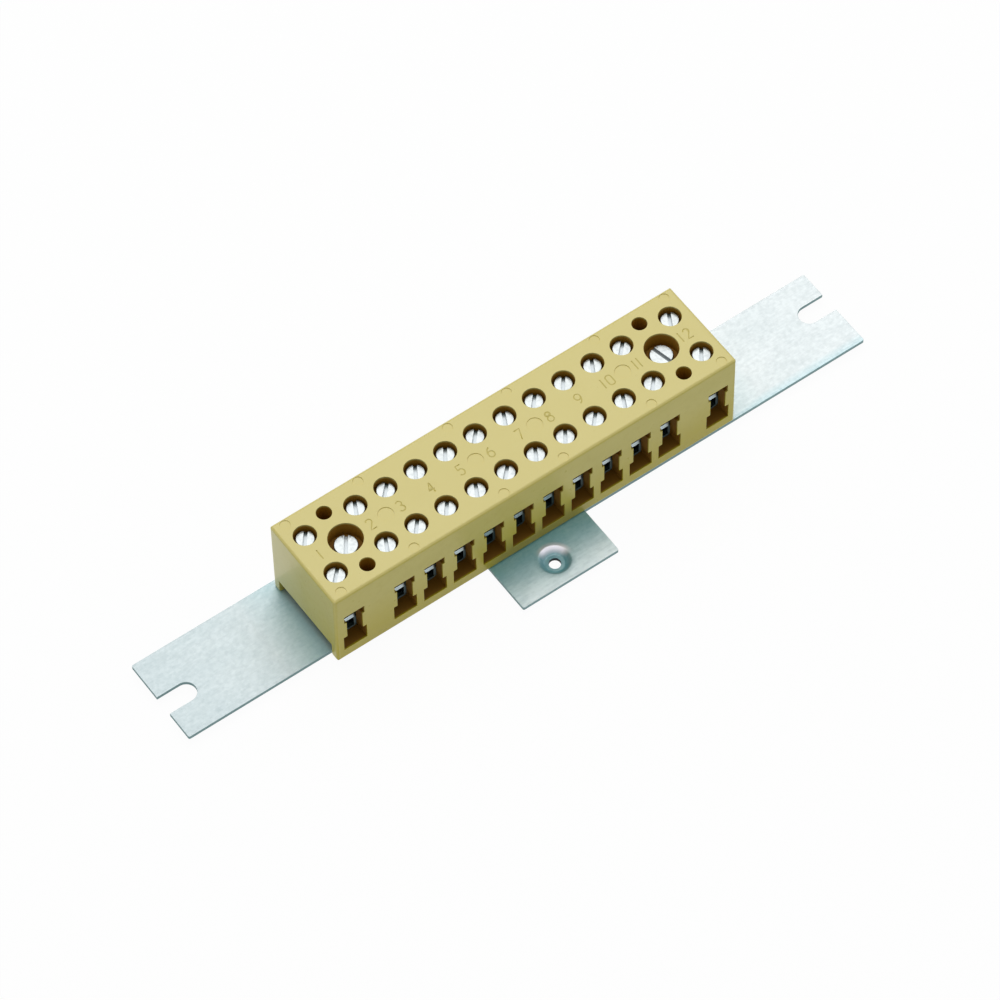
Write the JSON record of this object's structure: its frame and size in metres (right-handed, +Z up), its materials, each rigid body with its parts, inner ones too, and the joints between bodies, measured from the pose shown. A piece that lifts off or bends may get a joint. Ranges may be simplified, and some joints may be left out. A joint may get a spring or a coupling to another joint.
{
  "type": "screw terminal block",
  "caption": "Moulded screw terminal block with numbered poles, wire entries on both long sides and recessed slotted screws, on a flat slotted mounting plate with a front tab.",
  "frame": {"origin": "on the underside of the mounting plate, under the middle of the housing", "axes": "+X along the block from pole 1 to pole 12, +Y from the tab's side to the rear, +Z up"},
  "size_m": [0.1828, 0.0385, 0.0262],
  "materials": {
    "zinc_plated_sheet": "bright zinc-plated rolled sheet, satin",
    "melamine": "beige-yellow moulded melamine, semi-matt",
    "zinc_plated_screw": "bright zinc-plated turned steel",
    "brass_bar": "tinned brass, satin",
    "yoke_steel": "zinc-plated folded strip"
  },
  "bodies": {
    "root": {"mounting_plate": "zinc_plated_sheet", "housing": "melamine", "mounting_screws": "zinc_plated_screw", "front_terminal_screws": "zinc_plated_screw", "rear_terminal_screws": "zinc_plated_screw", "current_bar_1": "brass_bar", "current_bar_2": "brass_bar", "current_bar_3": "brass_bar", "current_bar_4": "brass_bar", "current_bar_5": "brass_bar", "current_bar_6": "brass_bar", "current_bar_7": "brass_bar", "current_bar_8": "brass_bar", "current_bar_9": "brass_bar", "current_bar_10": "brass_bar", "current_bar_11": "brass_bar", "current_bar_12": "brass_bar", "front_yoke_1": "yoke_steel", "front_yoke_2": "yoke_steel", "front_yoke_3": "yoke_steel", "front_yoke_4": "yoke_steel", "front_yoke_5": "yoke_steel", "front_yoke_6": "yoke_steel", "front_yoke_7": "yoke_steel", "front_yoke_8": "yoke_steel", "front_yoke_9": "yoke_steel", "front_yoke_10": "yoke_steel", "front_yoke_11": "yoke_steel", "front_yoke_12": "yoke_steel", "rear_yoke_1": "yoke_steel", "rear_yoke_2": "yoke_steel", "rear_yoke_3": "yoke_steel", "rear_yoke_4": "yoke_steel", "rear_yoke_5": "yoke_steel", "rear_yoke_6": "yoke_steel", "rear_yoke_7": "yoke_steel", "rear_yoke_8": "yoke_steel", "rear_yoke_9": "yoke_steel", "rear_yoke_10": "yoke_steel", "rear_yoke_11": "yoke_steel", "rear_yoke_12": "yoke_steel"}
  },
  "joints": []
}
